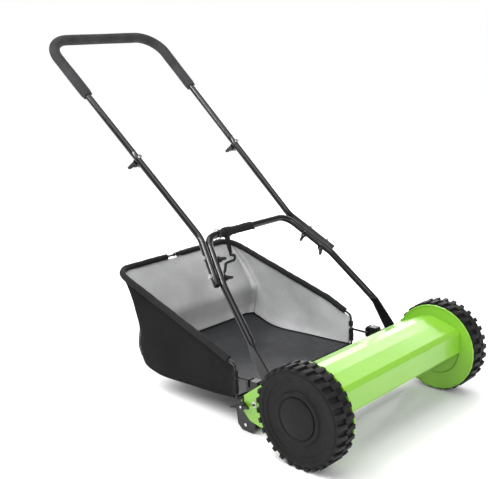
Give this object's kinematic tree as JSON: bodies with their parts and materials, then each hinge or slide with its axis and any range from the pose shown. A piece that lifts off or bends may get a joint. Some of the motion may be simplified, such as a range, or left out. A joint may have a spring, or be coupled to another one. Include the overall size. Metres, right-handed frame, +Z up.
{
  "type": "reel mower",
  "caption": "Push reel mower: two lugged wheels drive a helical cutting reel under a bent cover, with a tube handle, rear roller and a hung cloth grass catcher.",
  "frame": {"origin": "on the floor, at the middle of the whole machine's length and width", "axes": "+Z up, the mower drives towards -Y, X along the reel axis with +X on the operator's left"},
  "size_m": [0.602, 1.1019, 0.9229],
  "materials": {
    "black_steel": "gloss powder coat",
    "green_paint": "gloss green enamel",
    "zinc": "bright zinc plate",
    "spring_steel": "dark spring steel",
    "blade_steel": "hardened, ground edge",
    "brass": "satin",
    "nylon": "satin",
    "black_plastic": "fine texture",
    "foam": "open foam",
    "webbing": "woven",
    "sleeve_cloth": "coated cloth",
    "mesh_cloth": "fine mesh",
    "tray_board": "smooth",
    "wire": "satin",
    "wheel_plastic": "fine texture",
    "tread": "matt"
  },
  "bodies": {
    "chassis": {"side_plate_left": "green_paint", "side_plate_right": "green_paint", "deck_cover": "green_paint", "chassis_screws": "zinc", "front_tie_rod": "black_steel", "axle_left": "zinc", "axle_right": "zinc", "axle_circlips": "spring_steel", "reel_bearing_left": "spring_steel", "reel_bearing_right": "spring_steel", "handle_pivot_bolts": "zinc", "handle_stop_pins": "zinc", "catcher_hook_left": "black_plastic", "catcher_hook_right": "black_plastic", "bracket_pivot_bolts": "zinc", "knife_adjusters": "zinc"},
    "bed_knife": {"bed_knife": "blade_steel", "knife_bar": "black_steel", "knife_screws": "zinc"},
    "wheel_left": {"wheel_left": "wheel_plastic", "tyre_left": "tread", "wheel_bush_left": "nylon", "hub_cap_left": "wheel_plastic"},
    "wheel_right": {"wheel_right": "wheel_plastic", "tyre_right": "tread", "wheel_bush_right": "nylon", "hub_cap_right": "wheel_plastic"},
    "reel": {"reel_shaft": "zinc", "reel_spiders": "blade_steel", "reel_blades": "blade_steel", "pinion_left": "spring_steel", "pinion_right": "spring_steel", "drive_keys": "brass", "pinion_circlips": "spring_steel"},
    "roller_carrier": {"height_bracket_left": "black_steel", "height_bracket_right": "black_steel", "height_knobs": "black_steel", "roller_shaft": "zinc"},
    "roller": {"rear_roller": "black_plastic"},
    "handle": {"lower_tube": "black_steel", "upper_tube_left": "black_steel", "upper_tube_right": "black_steel", "top_tube": "black_steel", "foam_grip": "foam", "top_bolts": "zinc", "top_knobs": "black_plastic", "lower_bolts": "zinc", "lower_wing_nuts": "black_plastic", "bar_wrap": "webbing"},
    "hanger_hook": {"hanger_strap": "webbing", "s_hook": "black_plastic"},
    "catcher": {"catcher_frame": "black_steel", "catcher_rim": "sleeve_cloth", "catcher_side_left": "mesh_cloth", "catcher_side_right": "mesh_cloth", "catcher_rear": "mesh_cloth", "catcher_tray": "tray_board", "wire_clip": "black_plastic"},
    "hanger_wire": {"hanger_wire": "wire"}
  },
  "joints": [
    {"name": "wheel_left_spin", "type": "hinge", "parent": "chassis", "child": "wheel_left", "pos_m": [0, -0.436, 0.115], "axis": [1, 0, 0], "continuous": true},
    {"name": "wheel_right_spin", "type": "hinge", "parent": "chassis", "child": "wheel_right", "pos_m": [0, -0.436, 0.115], "axis": [1, 0, 0], "continuous": true},
    {"name": "reel_spin", "type": "hinge", "parent": "chassis", "child": "reel", "pos_m": [0, -0.39569, 0.098], "axis": [1, 0, 0], "continuous": true},
    {"name": "knife_adjust", "type": "hinge", "parent": "chassis", "child": "bed_knife", "pos_m": [0, -0.337, 0.062], "axis": [1, 0, 0], "range_deg": [0, 2.5]},
    {"name": "height_adjust", "type": "hinge", "parent": "chassis", "child": "roller_carrier", "pos_m": [0, -0.264, 0.08], "axis": [1, 0, 0], "range_deg": [-6, 25]},
    {"name": "roller_spin", "type": "hinge", "parent": "roller_carrier", "child": "roller", "pos_m": [0, -0.231, 0.018], "axis": [1, 0, 0], "continuous": true},
    {"name": "handle_tilt", "type": "hinge", "parent": "chassis", "child": "handle", "pos_m": [0, -0.314, 0.128], "axis": [1, 0, 0], "range_deg": [0, 35]},
    {"name": "hook_swing", "type": "hinge", "parent": "handle", "child": "hanger_hook", "pos_m": [0, -0.02612, 0.4222], "axis": [1, 0, 0], "range_deg": [-30, 30]},
    {"name": "catcher_lift", "type": "hinge", "parent": "chassis", "child": "catcher", "pos_m": [0, -0.246, 0.118], "axis": [1, 0, 0], "range_deg": [0, 36]},
    {"name": "wire_swing", "type": "hinge", "parent": "catcher", "child": "hanger_wire", "pos_m": [0, 0.262, 0.303], "axis": [1, 0, 0], "range_deg": [-9, 0]}
  ],
  "couplings": [
    {"joint": "wheel_right_spin", "follows": "wheel_left_spin", "ratio": 1},
    {"joint": "reel_spin", "follows": "wheel_left_spin", "ratio": 4.1818},
    {"joint": "catcher_lift", "follows": "handle_tilt", "ratio": 1.01},
    {"joint": "wire_swing", "follows": "handle_tilt", "ratio": -0.214}
  ]
}
